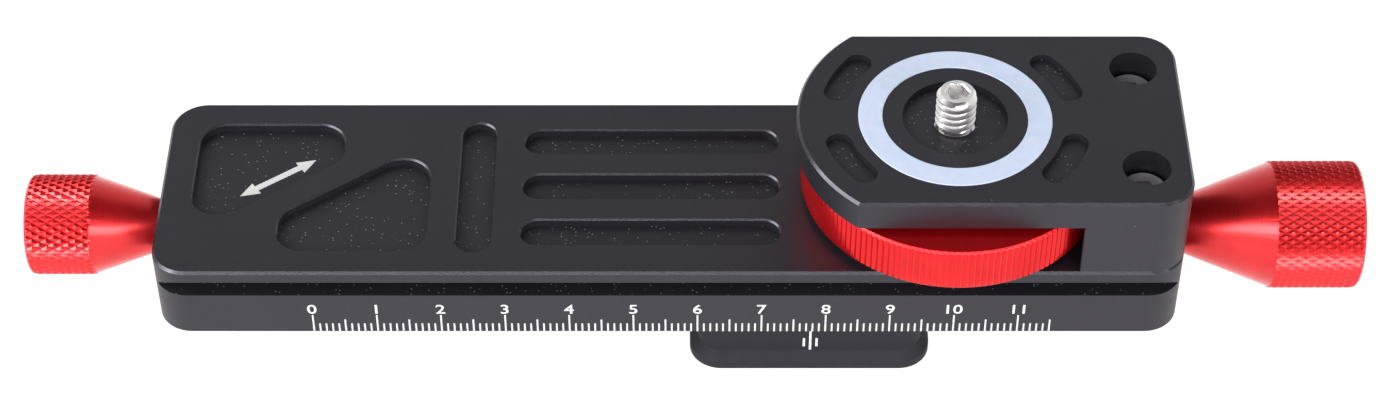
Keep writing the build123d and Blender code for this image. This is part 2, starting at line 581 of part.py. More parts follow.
with BuildPart() as carriage_block:
    with BuildSketch(Plane.XY.offset(FOOT_TOP)):
        Rectangle(CARRIAGE_LENGTH, 2 * (CHANNEL_HALF_WIDTH - SLIDE_GAP))
    extrude(amount=CARRIAGE_TOP - FOOT_TOP)
    chamfer(carriage_block.edges().group_by(Axis.Z)[-1], TOP_BEVEL)
    bar(-CARRIAGE_HALF - PASS, CARRIAGE_HALF + PASS, rod_places, GUIDE_BUSH_OUTER, mode=Mode.SUBTRACT)
    bar(-CARRIAGE_HALF - PASS, CARRIAGE_HALF + PASS, axis_place, NUT_DIAMETER, mode=Mode.SUBTRACT)
    flange(FLANGE_WIDTH + CLEARANCE, FLANGE_HEIGHT + CLEARANCE, -CARRIAGE_HALF - PASS,
           -CARRIAGE_HALF + FLANGE_THICKNESS, mode=Mode.SUBTRACT)
    bar(-CARRIAGE_HALF, NUT_SCREW_END + END_GAP, nut_screw_places, NUT_SCREW_DIAMETER,
        mode=Mode.SUBTRACT)
    post(FOOT_TOP - PASS, FOOT_SCREW_END + END_GAP, foot_screw_places,
         FOOT_SCREW_DIAMETER + THREAD_FIT, mode=Mode.SUBTRACT)
    post(FOOT_TOP - PASS, FOOT_PIN_TOP, foot_pin_places, FOOT_PIN_DIAMETER, mode=Mode.SUBTRACT)
keep(carriage_block, "carriage_block")

with BuildPart() as guide_bushes:
    for low in (-CARRIAGE_HALF + GUIDE_BUSH_INSET, CARRIAGE_HALF - GUIDE_BUSH_INSET - GUIDE_BUSH_LENGTH):
        tube(low, low + GUIDE_BUSH_LENGTH, rod_places, GUIDE_BUSH_OUTER - PRESS_FIT,
             ROD_DIAMETER + RUNNING_FIT)
keep(guide_bushes, "guide_bushes")

with BuildPart() as lead_nut:
    bar(-CARRIAGE_HALF, -CARRIAGE_HALF + NUT_LENGTH, axis_place, NUT_DIAMETER - PRESS_FIT)
    flange(FLANGE_WIDTH, FLANGE_HEIGHT, -CARRIAGE_HALF, -CARRIAGE_HALF + FLANGE_THICKNESS)
    bar(-CARRIAGE_HALF - PASS, CARRIAGE_HALF, axis_place, LEAD_DIAMETER + RUNNING_FIT,
        mode=Mode.SUBTRACT)
    bar(-CARRIAGE_HALF - PASS, CARRIAGE_HALF, nut_screw_places, NUT_SCREW_DIAMETER + THREAD_FIT,
        mode=Mode.SUBTRACT)
    bar(-CARRIAGE_HALF - PASS, -CARRIAGE_HALF + NUT_SCREW_HEAD_HEIGHT, nut_screw_places,
        NUT_SCREW_HEAD + THREAD_FIT, mode=Mode.SUBTRACT)
keep(lead_nut, "lead_nut")

with BuildPart() as nut_screws:
    bar(-CARRIAGE_HALF, -CARRIAGE_HALF + NUT_SCREW_HEAD_HEIGHT, nut_screw_places, NUT_SCREW_HEAD)
    bar(-CARRIAGE_HALF + NUT_SCREW_HEAD_HEIGHT, NUT_SCREW_END, nut_screw_places,
        NUT_SCREW_DIAMETER - PRESS_FIT)
keep(nut_screws, "nut_screws")
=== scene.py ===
import math

import bmesh
import bpy
import numpy as np
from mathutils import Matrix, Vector


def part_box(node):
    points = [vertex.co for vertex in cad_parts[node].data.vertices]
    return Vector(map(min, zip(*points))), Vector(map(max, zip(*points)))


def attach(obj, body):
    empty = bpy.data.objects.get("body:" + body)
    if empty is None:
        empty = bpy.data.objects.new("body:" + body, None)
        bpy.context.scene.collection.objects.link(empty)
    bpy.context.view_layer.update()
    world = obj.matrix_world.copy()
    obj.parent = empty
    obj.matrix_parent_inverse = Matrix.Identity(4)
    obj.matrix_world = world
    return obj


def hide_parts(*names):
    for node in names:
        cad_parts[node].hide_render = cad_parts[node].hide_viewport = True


# Looks for the macro focusing rail. Metres, in the same frame as the CAD: +X along the rail towards
# the platform, +Y to the back, +Z up. Sizes that the frame doesn't give are named beside the piece
# they belong to.

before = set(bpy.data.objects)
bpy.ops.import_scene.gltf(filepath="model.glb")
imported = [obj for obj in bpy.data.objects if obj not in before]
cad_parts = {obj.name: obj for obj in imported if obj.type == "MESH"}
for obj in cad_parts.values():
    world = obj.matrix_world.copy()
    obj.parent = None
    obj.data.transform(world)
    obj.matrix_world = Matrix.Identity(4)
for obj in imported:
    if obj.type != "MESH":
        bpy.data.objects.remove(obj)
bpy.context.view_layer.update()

MM = 0.001
TURN = 2 * math.pi

rail_low, rail_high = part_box("rail_body")
foot_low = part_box("foot_plate")[0]
wheel_low, wheel_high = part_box("thumb_wheel")
post_low, post_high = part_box("camera_screw")
lead_low, lead_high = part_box("lead_screw")
adapter_low, adapter_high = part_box("thread_adapter")
platform_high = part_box("camera_platform")[1]
AXIS_Z = (lead_low.z + lead_high.z) / 2
POST_X = (wheel_low.x + wheel_high.x) / 2
JOURNAL_RADIUS = 2.5 * MM    # the lead screw's plain ends
GAP = 0.01 * MM              # keeps a bore's wall off the shaft in it


# ---- camera -------------------------------------------------------------------------------------
CAMERA_PLACE = (-0.01834, -0.35472, 0.37557)
CAMERA_TILT = math.radians(44.687)      # up from looking straight down
CAMERA_LENS = 82.22                     # millimetres, on a sensor 36 wide

camera_data = bpy.data.cameras.new("camera")
camera_data.sensor_width = 36.0
camera_data.lens = CAMERA_LENS
camera = bpy.data.objects.new("camera", camera_data)
camera.location = CAMERA_PLACE
camera.rotation_euler = (CAMERA_TILT, 0, 0)
bpy.context.scene.collection.objects.link(camera)
bpy.context.scene.camera = camera


# ---- material helpers ---------------------------------------------------------------------------
class Shader:
    """A node material with one Principled shader, its coordinates in the object's own frame."""

    def __init__(self, name):
        self.material = bpy.data.materials.new(name)
        self.material.use_nodes = True
        self.nodes = self.material.node_tree.nodes
        self.links = self.material.node_tree.links
        self.shader = self.nodes["Principled BSDF"]
        self.place = self.nodes.new("ShaderNodeTexCoord").outputs["Object"]

    def set(self, **values):
        """Set sockets of the shader that are the same all over."""
        for name, value in values.items():
            self.shader.inputs[name.replace("_", " ")].default_value = value

    def join(self, value, socket):
        """Link an output, or set a constant."""
        if isinstance(value, bpy.types.NodeSocket):
            self.links.new(value, socket)
        else:
            socket.default_value = value

    def stretched(self, scale, shift=(0, 0, 0)):
        """The coordinates, moved by shift and then scaled on each axis."""
        node = self.nodes.new("ShaderNodeVectorMath")
        node.operation = "SUBTRACT"
        self.links.new(self.place, node.inputs[0])
        node.inputs[1].default_value = shift
        times = self.nodes.new("ShaderNodeVectorMath")
        times.operation = "MULTIPLY"
        self.links.new(node.outputs[0], times.inputs[0])
        times.inputs[1].default_value = scale
        return times.outputs[0]

    def noise(self, size, detail=3.0, place=None):
        """Noise whose lumps are about size metres across."""
        node = self.nodes.new("ShaderNodeTexNoise")
        node.inputs["Scale"].default_value = 1 / size
        node.inputs["Detail"].default_value = detail
        self.links.new(place or self.place, node.inputs["Vector"])
        return node.outputs["Fac"]

    def math(self, operation, first, second=0.0):
        """One sum of two numbers, each an output or a constant."""
        node = self.nodes.new("ShaderNodeMath")
        node.operation = operation
        self.join(first, node.inputs[0])
        self.join(second, node.inputs[1])
        return node.outputs[0]

    def between(self, value, low, high, to_low=0.0, to_high=1.0):
        """Map a value from low..high to to_low..to_high, held at the ends."""
        node = self.nodes.new("ShaderNodeMapRange")
        self.join(value, node.inputs["Value"])
        node.inputs["From Min"].default_value = low
        node.inputs["From Max"].default_value = high
        node.inputs["To Min"].default_value = to_low
        node.inputs["To Max"].default_value = to_high
        return node.outputs["Result"]

    def colours(self, factor, first, second):
        """Blend two colours."""
        node = self.nodes.new("ShaderNodeMix")
        node.data_type = "RGBA"
        self.join(factor, node.inputs["Factor"])
        for socket, value in ((node.inputs["A"], first), (node.inputs["B"], second)):
            self.join(value if isinstance(value, bpy.types.NodeSocket) else (*value, 1.0), socket)
        return [o for o in node.outputs if o.type == "RGBA"][0]

    def part(self, vector, which):
        """One number of a vector."""
        split = self.nodes.new("ShaderNodeSeparateXYZ")
        self.links.new(vector, split.inputs[0])
        return split.outputs[which]

    def upwards(self):
        """How far a face looks up: 1 level, 0 upright, below 0 overhanging."""
        return self.part(self.nodes.new("ShaderNodeTexCoord").outputs["Normal"], 2)

    def bevels(self):
        """1 on the faces that look up at a slant, 0 on level, upright and overhanging ones."""
        lean = self.upwards()
        return self.math(
            "MULTIPLY", self.between(lean, 0.25, 0.45), self.between(lean, 0.85, 0.96, 1.0, 0.0))

    def specks(self, cell, radius, share):
        """Small round grains, at most one in each cell, in that share of the cells."""
        node = self.nodes.new("ShaderNodeTexVoronoi")
        node.inputs["Scale"].default_value = 1 / cell
        self.links.new(self.place, node.inputs["Vector"])
        dot = self.between(node.outputs["Distance"], 0.6 * radius / cell, radius / cell, 1.0, 0.0)
        split = self.nodes.new("ShaderNodeSeparateColor")
        self.links.new(node.outputs["Color"], split.inputs[0])
        chosen = self.math("LESS_THAN", split.outputs[0], share)
        return self.math("MULTIPLY", dot, chosen)

    def bump(self, height, depth, strength):
        """Tilt the surface as if height, from 0 to 1, stood depth metres high."""
        node = self.nodes.new("ShaderNodeBump")
        node.inputs["Strength"].default_value = strength
        node.inputs["Distance"].default_value = depth
        self.links.new(height, node.inputs["Height"])
        self.links.new(node.outputs["Normal"], self.shader.inputs["Normal"])

    def colour(self, value):
        self.join(value, self.shader.inputs["Base Color"])

    def roughness(self, value):
        self.join(value, self.shader.inputs["Roughness"])


DUST_CELL, DUST_GRAIN = 2.2 * MM, 0.075 * MM        # at most one grain of dust to a cell
GRIT_CELL, GRIT_GRAIN, GRIT_SHARE = 0.7 * MM, 0.13 * MM, 0.5
BEVEL_ROUGH = 0.25


def black_anodised(name, dust=0.10, rough=0.475, ior=1.55, pit_level=None, bevels=True):
    """Bead-blasted aluminium, anodised black: a fine grain, faint cloudiness and a little dust. The
    upper bevels were cut after blasting, so they are smoother. Level floors below pit_level hold
    more grit."""
    m = Shader(name)
    grain = m.noise(0.30 * MM, 3.0)
    cloud = m.between(m.noise(14 * MM, 3.0), 0.3, 0.7)
    base = m.colours(cloud, (0.0028, 0.0025, 0.0044), (0.0048, 0.0044, 0.0068))
    base = m.colours(m.between(grain, 0.40, 0.75, 0.0, 0.5), base, (0.011, 0.0105, 0.0135))
    grit = m.math("MULTIPLY", m.specks(DUST_CELL, DUST_GRAIN, dust), 0.8)
    if pit_level is not None:
        deep = m.math("LESS_THAN", m.part(m.place, 2), pit_level)
        deep = m.math("MULTIPLY", deep, m.between(m.upwards(), 0.94, 0.98))
        fine = m.math("MULTIPLY", m.specks(GRIT_CELL, GRIT_GRAIN, GRIT_SHARE), deep)
        grit = m.math("MAXIMUM", grit, m.math("MULTIPLY", fine, 0.3))
    m.colour(m.colours(grit, base, (0.45, 0.45, 0.46)))
    even = m.between(m.noise(3 * MM, 4.0), 0.3, 0.7, rough - 0.025, rough + 0.025)
    if bevels:
        even = m.math("SUBTRACT", even, m.math("MULTIPLY", m.bevels(), rough - BEVEL_ROUGH))
    m.roughness(even)
    m.bump(grain, 0.014 * MM, 0.6)
    m.set(IOR=ior, Specular_Tint=(0.90, 0.87, 1.0, 1.0))
    return m.material


def red_anodised(name, centre, along, clear=0.65):
    """Turned aluminium, anodised red: fine turning marks run round an axis, which lies along x or z
    through centre. clear is the weight of the glossy sealed layer."""
    m = Shader(name)
    if along == "x":
        marks = m.noise(1.0, 2.0, m.stretched((9000, 90, 90), centre))
    else:
        ring = m.nodes.new("ShaderNodeVectorMath")
        ring.operation = "LENGTH"
        m.links.new(m.stretched((1, 1, 0), centre), ring.inputs[0])
        around = m.nodes.new("ShaderNodeCombineXYZ")
        m.links.new(m.math("MULTIPLY", ring.outputs["Value"], 7000.0), around.inputs[0])
        marks = m.noise(1.0, 2.0, around.outputs[0])
    cloud = m.noise(5 * MM, 3.0)
    base = m.colours(m.between(cloud, 0.3, 0.7), (0.64, 0.004, 0.008), (0.74, 0.008, 0.012))
    m.colour(m.colours(m.between(marks, 0.4, 0.8, 0.0, 0.25), base, (0.55, 0.003, 0.007)))
    m.roughness(m.between(marks, 0.3, 0.7, 0.27, 0.36))
    m.bump(marks, 0.003 * MM, 0.5)
    m.set(Metallic=0.85, IOR=1.4, Coat_Weight=clear, Coat_Roughness=0.25, Coat_IOR=1.6)
    return m.material


def metal(name, first, second, rough, stretch=(300, 300, 300), depth=0.002, metallic=1.0):
    """Machined metal, with streaks along the way it was cut. stretch says how fine they are on each
    axis, and depth is in millimetres."""
    m = Shader(name)
    streak = m.noise(1.0, 3.0, m.stretched(stretch))
    cloud = m.noise(2.5 * MM, 3.0)
    m.colour(m.colours(m.between(cloud, 0.35, 0.65), first, second))
    m.roughness(m.between(streak, 0.3, 0.7, rough * 0.8, rough * 1.3))
    m.bump(streak, depth * MM, 0.5)
    m.set(Metallic=metallic)
    return m.material


def plastic(name, first, second, rough, grain=0.3, **sockets):
    """Turned or moulded plastic, with a slight grain. grain is in millimetres."""
    m = Shader(name)
    fine = m.noise(grain * MM, 3.0)
    m.colour(m.colours(m.between(fine, 0.3, 0.7), first, second))
    m.roughness(m.between(m.noise(2 * MM), 0.3, 0.7, rough - 0.05, rough + 0.06))
    m.bump(fine, 0.004 * MM, 0.4)
    m.set(**sockets)
    return m.material


# ---- mesh helpers -------------------------------------------------------------------------------
WELD = 0.0005 * MM


def weld(mesh):
    """Join points that fall together, and drop the faces that this leaves empty."""
    shape = bmesh.new()
    shape.from_mesh(mesh)
    bmesh.ops.remove_doubles(shape, verts=shape.verts, dist=WELD)
    bmesh.ops.dissolve_degenerate(shape, edges=shape.edges, dist=WELD)
    shape.to_mesh(mesh)
    shape.free()
    mesh.validate()


def make_piece(name, points, faces, material, body, slot=None, stands_for=(), sharp=30.0):
    """A mesh object from points in the shared frame, which rides on a CAD body. Edges that turn by
    more than sharp degrees stay crisp."""
    mesh = bpy.data.meshes.new(name)
    mesh.from_pydata([tuple(p) for p in points], [], faces)
    weld(mesh)
    mesh.shade_smooth()
    mesh.set_sharp_from_angle(angle=math.radians(sharp))
    mesh.materials.append(material)
    piece = bpy.data.objects.new(name, mesh)
    bpy.context.scene.collection.objects.link(piece)
    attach(piece, body)
    if stands_for:
        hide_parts(*stands_for)
    return piece


def skin(rings, closed=False, first_family=None, helix=None):
    """Faces over rings of equal length, rings[i][j] being a point. The ends are capped, or joined
    if closed. first_family[i][j] says which way a face's diagonal runs, where the faces are split
    in two. Rings from helix[0] to helix[1] climb, so that each one's end meets the start of the
    ring helix[2] further on."""
    count, around = rings.shape[:2]
    points = rings.reshape(-1, 3)
    faces = []
    for i in range(count if closed else count - 1):
        upper = (i + 1) % count
        for j in range(around):
            k = (j + 1) % around
            a, b = i * around + j, i * around + k
            c, d = upper * around + k, upper * around + j
            if helix and k == 0 and helix[0] <= i < helix[1]:
                b = min(i + helix[2], helix[1]) * around
                c = min(upper + helix[2], helix[1]) * around
            if first_family is None or i >= len(first_family) or first_family[i] is None:
                faces.append((a, b, c, d))
            elif first_family[i][j]:
                faces += [(a, b, d), (b, c, d)]
            else:
                faces += [(a, b, c), (a, c, d)]
    if not closed:
        faces.append(tuple(reversed(range(around))))
        faces.append(tuple(range((count - 1) * around, count * around)))
    return points, faces


def about_x(x, radius, angles):
    """A ring round the lead screw's axis."""
    return np.stack(
        [x + 0.0 * angles, radius * np.cos(angles), AXIS_Z + radius * np.sin(angles)], -1)


def about_z(z, radius, angles, centre=(0.0, 0.0)):
    """A ring round an upright axis."""
    return np.stack(
        [centre[0] + radius * np.cos(angles), centre[1] + radius * np.sin(angles),
         z + 0.0 * angles], -1)


def drill(piece, start, end, radius):
    """Cut a round hole in a piece, between two points."""
    sides = 48
    start, end = Vector(start), Vector(end)
    along = (end - start).normalized()
    side = along.orthogonal().normalized()
    other = along.cross(side)
    angles = np.arange(sides) * TURN / sides
    rings = np.array([
        [p + radius * (math.cos(t) * side + math.sin(t) * other) for t in angles]
        for p in (start, end)])
    points, faces = skin(rings)
    cut(piece, points, faces)


def cut(piece, points, faces):
    """Take a closed shape out of a piece."""
    mesh = bpy.data.meshes.new("cutter")
    mesh.from_pydata([tuple(p) for p in points], [], faces)
    cutter = bpy.data.objects.new("cutter", mesh)
    bpy.context.scene.collection.objects.link(cutter)
    step = piece.modifiers.new("cut", "BOOLEAN")
    step.operation = "DIFFERENCE"
    step.solver = "EXACT"
    step.object = cutter
    bpy.context.view_layer.update()
    shape = piece.evaluated_get(bpy.context.evaluated_depsgraph_get())
    result = bpy.data.meshes.new_from_object(shape)
    piece.modifiers.remove(step)
    result.name = piece.name
    piece.data = result
    bpy.data.objects.remove(cutter)


def wave(phase):
    """0 at whole numbers of phase, 1 half way between them, straight in between."""
    return 1 - np.abs(2 * (phase % 1.0) - 1)


# ---- materials in use ---------------------------------------------------------------------------
GRIT_LEVEL = 0.5 * MM        # floors further down than this hold grit

rail_black = black_anodised("rail_black", dust=0.16, pit_level=rail_high.z - GRIT_LEVEL)
foot_black = black_anodised("foot_black", dust=0.03, rough=0.75, ior=1.47, bevels=False)
plate_black = black_anodised("plate_black", dust=0.16, pit_level=platform_high.z - GRIT_LEVEL)
steel = metal("steel", (0.88, 0.86, 0.86), (0.80, 0.785, 0.785), 0.22,
              stretch=(300, 300, 900), depth=0.0008, metallic=0.97)
lead_steel = metal("lead_steel", (0.60, 0.59, 0.57), (0.50, 0.50, 0.49), 0.24,
                   stretch=(2500, 200, 200))
screw_steel = metal("screw_steel", (0.92, 0.90, 0.88), (0.84, 0.82, 0.80), 0.40, metallic=0.6)
black_steel = metal("black_steel", (0.030, 0.030, 0.034), (0.050, 0.049, 0.052), 0.36)
brass = metal("brass", (0.72, 0.50, 0.20), (0.64, 0.43, 0.17), 0.24, stretch=(500, 500, 1800))
bronze = metal("bronze", (0.50, 0.30, 0.14), (0.42, 0.25, 0.12), 0.42)
acetal = plastic("acetal", (0.030, 0.030, 0.032), (0.044, 0.043, 0.046), 0.42)
white_fill = plastic("white_fill", (0.54, 0.54, 0.54), (0.46, 0.46, 0.47), 0.55, grain=0.12)
silicone = plastic("silicone", (0.44, 0.50, 0.64), (0.48, 0.54, 0.67), 0.38, grain=1.6,
                   Subsurface_Weight=0.35, Subsurface_Scale=1.5 * MM)

carried_over = {
    "rail_body": rail_black,
    "camera_platform": plate_black,
    "foot_plate": foot_black,
    "carriage_block": foot_black,
    "foot_screws": black_steel,
    "foot_pins": steel,
    "guide_bushes": acetal,
    "lead_nut": brass,
    "nut_screws": steel,
    "left_end_bush": bronze,
    "right_end_bush": bronze,
    "guide_rods": lead_steel,
    "rod_plugs": black_steel,
    "platform_screws": screw_steel,
    "platform_pins": steel,
    "grip_ring": silicone,
    "post_bush": acetal,
    "knob_set_screws": black_steel,
    "thrust_washers": acetal,
    "wheel_set_screw": black_steel,
    "upper_wheel_washer": acetal,
    "lower_wheel_washer": acetal,
}
for node, material in carried_over.items():
    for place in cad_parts[node].material_slots:
        place.material = material


# ---- knobs --------------------------------------------------------------------------------------
KNURL_DEPTH = 0.30 * MM
KNURL_SLANT = math.radians(30)
KNURL_STEPS = 8              # mesh steps to each knurl pitch, both ways
KNURL_FLAT = 0.25            # share of the knurl's depth that its tips lose
KNURL_SHARP = 24             # edges that turn by more degrees than this stay crisp
KNOB_BEVEL = 0.5 * MM
CONE_STEP = 0.35 * MM
NECK_RADIUS = 3.9 * MM
GRUB_RADIUS = 1.5 * MM
GRUB_FROM_NECK = 5.0 * MM
KNOB_TO_JOURNAL = 0.1 * MM   # from the bore's bottom to the journal's end


def knob(node, towards_neck, barrel, starts, journal_end):
    """A knob with a diamond knurl over the length barrel: starts ridges each way, cut through the
    bevel, then a plain cone. towards_neck is 1 where the neck is on the +X side, else -1."""
    low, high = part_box(node)
    outer, neck = (low.x, high.x) if towards_neck > 0 else (high.x, low.x)
    radius = (high.y - low.y) / 2
    pitch_along = TURN * radius / starts / math.tan(KNURL_SLANT)
    step = pitch_along / KNURL_STEPS
    around = starts * KNURL_STEPS
    angles = np.arange(around) * TURN / around
    rings, families = [], []

    def add(x, r, family=None):
        rings.append(about_x(outer + towards_neck * x, r, angles))
        families.append(family)

    flat = np.ones(around)
    for share in (0.03, 0.5, 0.93):
        add(0, share * (radius - KNOB_BEVEL) * flat)
    add(0, (radius - KNOB_BEVEL) * flat)
    rows = int(barrel / step)
    for i in range(rows + 1):
        x = min((i + 0.35) * step, barrel)
        first = wave(angles / TURN * starts + i / KNURL_STEPS)
        second = wave(angles / TURN * starts - i / KNURL_STEPS)
        deep = np.maximum(first, second)
        r = radius - KNURL_DEPTH * np.clip((deep - KNURL_FLAT) / (1 - KNURL_FLAT), 0, 1)
        r = np.minimum(r, radius - KNOB_BEVEL + x)
        add(x, r, (first > second) ^ (towards_neck < 0) if i < rows else None)
    cone = abs(neck - outer) - barrel
    cone_radius = radius - CONE_STEP
    last = rings[-1]
    add(barrel, np.minimum(np.hypot(last[:, 1], last[:, 2] - AXIS_Z), cone_radius + 0.1 * MM))
    for share in (0.0, 0.25, 0.5, 0.75, 0.97):
        x = barrel + CONE_STEP + share * (cone - CONE_STEP)
        add(x, (cone_radius + share * (NECK_RADIUS - cone_radius)) * flat)
    add(barrel + cone, (NECK_RADIUS - 0.12 * MM) * flat)
    bore = JOURNAL_RADIUS + GAP
    add(barrel + cone, bore * flat)
    add(abs(journal_end - outer) - KNOB_TO_JOURNAL, bore * flat)
    points, faces = skin(np.array(rings), first_family=families)
    if towards_neck < 0:
        faces = [tuple(reversed(f)) for f in faces]
    red = red_anodised(node + "_red", (0, 0, AXIS_Z), "x")
    piece = make_piece(
        node + "_knurled", points, faces, red, "lead_screw", "red_anodised", (node,), KNURL_SHARP)
    grub_x = neck - towards_neck * GRUB_FROM_NECK
    drill(piece, (grub_x, 0, AXIS_Z), (grub_x, 0, AXIS_Z - radius - MM), GRUB_RADIUS)


knob("left_knob", 1, 10.3 * MM, 38, lead_low.x)
knob("right_knob", -1, 13.9 * MM, 48, lead_high.x)


# ---- thumb wheel --------------------------------------------------------------------------------
WHEEL_RIDGES = 148
RIDGE_STEPS = 6
RIDGE_DEPTH = 0.26 * MM
RIDGE_FLAT = 0.1
WHEEL_BEVEL = 0.45 * MM
BEVEL_ROWS = (0, 0.15, 0.3, 0.45)       # millimetres up the bevel
WHEEL_GRUB_START = 1.6 * MM             # from the wheel's axis


def thumb_wheel():
    """The wheel under the camera plate, with fine straight ridges cut through its bevels."""
    radius = (wheel_high.x - wheel_low.x) / 2
    around = WHEEL_RIDGES * RIDGE_STEPS
    angles = np.arange(around) * TURN / around
    rise = wave(angles / TURN * WHEEL_RIDGES)
    ridge = RIDGE_DEPTH * np.clip((rise - RIDGE_FLAT) / (1 - RIDGE_FLAT), 0, 1)
    bore = (post_high.x - post_low.x) / 2 + GAP
    centre = (POST_X, 0.0)
    rings = []
    height = wheel_high.z - wheel_low.z

    def add(z, r):
        rings.append(about_z(wheel_low.z + z, r, angles, centre))

    flat = np.ones(around)
    add(0, bore * flat)
    add(0, 0.5 * radius * flat)
    add(0, (radius - WHEEL_BEVEL - 0.1 * MM) * flat)
    for z in BEVEL_ROWS:
        add(z * MM, np.minimum(radius - ridge, radius - WHEEL_BEVEL + z * MM))
    for share in (0.2, 0.4, 0.6, 0.8):
        add(share * height, radius - ridge)
    for z in reversed(BEVEL_ROWS):
        add(height - z * MM, np.minimum(radius - ridge, radius - WHEEL_BEVEL + z * MM))
    add(height, (radius - WHEEL_BEVEL - 0.1 * MM) * flat)
    add(height, 0.5 * radius * flat)
    add(height, bore * flat)
    points, faces = skin(np.array(rings), closed=True)
    red = red_anodised("wheel_red", (POST_X, 0, 0), "z", clear=0.2)
    piece = make_piece("thumb_wheel_ridged", points, faces, red, "thumb_wheel", "red_anodised",
                       ("thumb_wheel",), KNURL_SHARP)
    middle = (wheel_low.z + wheel_high.z) / 2
    drill(piece, (POST_X, WHEEL_GRUB_START, middle), (POST_X, radius + MM, middle), GRUB_RADIUS)


thumb_wheel()


# ---- threads ------------------------------------------------------------------------------------
THREAD_STEPS = (-0.07, 0.07, 0.25, 0.43, 0.57, 0.75)    # where a thread's rows lie, in pitches
THREAD_FLAT = 0.14                                      # share cut off at crest and at root
THREAD_SHARP = 35
QUARTER_INCH_PITCH = 1.27 * MM                          # twenty threads to the inch


def thread_depth(along, angles, pitch):
    """How deep a right-hand thread is, from 0 at its flat crests to 1 at its roots."""
    rise = wave(along / pitch - angles / TURN)
    return np.clip((rise - THREAD_FLAT) / (1 - 2 * THREAD_FLAT), 0, 1)


def thread_rows(length, pitch, angles):
    """Distances along a thread for rows that follow its helix, held within its length."""
    turns = range(-1, int(math.ceil(length / pitch)) + 2)
    return [np.clip(pitch * (k + step + angles / TURN), 0, length)
            for k in turns for step in THREAD_STEPS]


def camera_screw():
    """The 1/4-20 camera screw, from its foot up: a spigot, a plain shank, a relief and the thread,
    which starts just under the recess floor. A hexagon socket is sunk in its top."""
    around = 120
    angles = np.arange(around) * TURN / around
    flat = np.ones(around)
    top = post_high.z
    shank = (post_high.x - post_low.x) / 2
    crest = shank - 0.06 * MM
    pitch, depth = QUARTER_INCH_PITCH, 0.66 * MM
    relief, runout = 2.5 * MM, 1.4
    relief_top = platform_high.z - 1.15 * MM
    relief_low = relief_top - 0.6 * MM
    spigot, spigot_bevel = 2.45 * MM, 0.2 * MM
    bevel = 0.6 * MM
    apothem, socket, socket_bevel = 1.6 * MM, 3.0 * MM, 0.15 * MM
    hexagon = apothem / np.cos((angles % (TURN / 6)) - TURN / 12)
    rings = []

    def add(z, r):
        rings.append(about_z(z, r, angles, (POST_X, 0.0)))

    add(post_low.z, (spigot - spigot_bevel) * flat)
    add(post_low.z + spigot_bevel, spigot * flat)
    add(wheel_low.z, spigot * flat)
    add(wheel_low.z, shank * flat)
    add(relief_low, shank * flat)
    add(relief_low, relief * flat)
    add(relief_top, relief * flat)
    first = len(rings)
    for along in thread_rows(top - relief_top, pitch, angles):
        r = crest - depth * thread_depth(along, angles, pitch)
        r = np.minimum(r, crest - bevel + (top - relief_top - along))
        add(relief_top + along, np.minimum(r, relief + runout * along))
    last = len(rings) - 1
    add(top, hexagon + socket_bevel)
    add(top - socket_bevel, hexagon)
    add(top - socket, hexagon)
    points, faces = skin(np.array(rings), helix=(first, last, len(THREAD_STEPS)))
    make_piece("camera_screw_threaded", points, faces, steel, "thumb_wheel", "bright_steel",
               ("camera_screw",), THREAD_SHARP)


def lead_screw():
    """The lead screw: a long fine thread between two plain journals."""
    around = 36
    angles = np.arange(around) * TURN / around
    flat = np.ones(around)
    crest = (lead_high.z - lead_low.z) / 2
    bevel = 0.2 * MM
    washer = 0.5 * MM
    thread_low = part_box("thrust_washers")[0].x + washer
    thread_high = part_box("thrust_washers")[1].x - washer
    pitch, depth = 1.0 * MM, 0.5 * MM
    rings = []

    def add(x, r):
        rings.append(about_x(x, r, angles))

    add(lead_low.x, (JOURNAL_RADIUS - bevel) * flat)
    add(lead_low.x + bevel, JOURNAL_RADIUS * flat)
    add(thread_low, JOURNAL_RADIUS * flat)
    first = len(rings)
    for along in thread_rows(thread_high - thread_low, pitch, angles):
        add(thread_low + along, crest - depth * thread_depth(along, angles, pitch))
    last = len(rings) - 1
    add(thread_high, JOURNAL_RADIUS * flat)
    add(lead_high.x - bevel, JOURNAL_RADIUS * flat)
    add(lead_high.x, (JOURNAL_RADIUS - bevel) * flat)
    points, faces = skin(np.array(rings), helix=(first, last, len(THREAD_STEPS)))
    make_piece("lead_screw_threaded", points, faces, lead_steel, "lead_screw", "bright_steel",
               ("lead_screw",), THREAD_SHARP)


def thread_adapter():
    """The thread reducer in the tripod socket: threaded inside, slotted below."""
    around = 72
    angles = np.arange(around) * TURN / around
    flat = np.ones(around)
    outer = (adapter_high.x - adapter_low.x) / 2
    inner = 3.2 * MM
    pitch, depth = QUARTER_INCH_PITCH, 0.62 * MM
    bevel = 0.3 * MM
    low, high = adapter_low.z, adapter_high.z
    rings = []

    def add(z, r):
        rings.append(about_z(z, r, angles))

    add(high, outer * flat)
    add(low + bevel, outer * flat)
    add(low, (outer - bevel) * flat)
    first = len(rings)
    for along in thread_rows(high - low, pitch, angles):
        r = inner - depth * (1 - thread_depth(along, angles, pitch))
        countersink = inner - np.minimum(along, high - low - along)
        add(low + along, np.minimum(np.maximum(r, countersink), inner))
    last = len(rings) - 1
    points, faces = skin(np.array(rings), closed=True, helix=(first, last, len(THREAD_STEPS)))
    faces = [tuple(reversed(f)) for f in faces]
    piece = make_piece("thread_adapter_threaded", points, faces, brass, "foot", "brass",
                       ("thread_adapter",), THREAD_SHARP)
    half, reach, rise = 0.6 * MM, outer + MM, 0.9 * MM
    slot = np.array([
        [(-reach, -half, z), (reach, -half, z), (reach, half, z), (-reach, half, z)]
        for z in (low - MM, low + rise)])
    points, faces = skin(slot)
    cut(piece, points, faces)


camera_screw()
lead_screw()
thread_adapter()


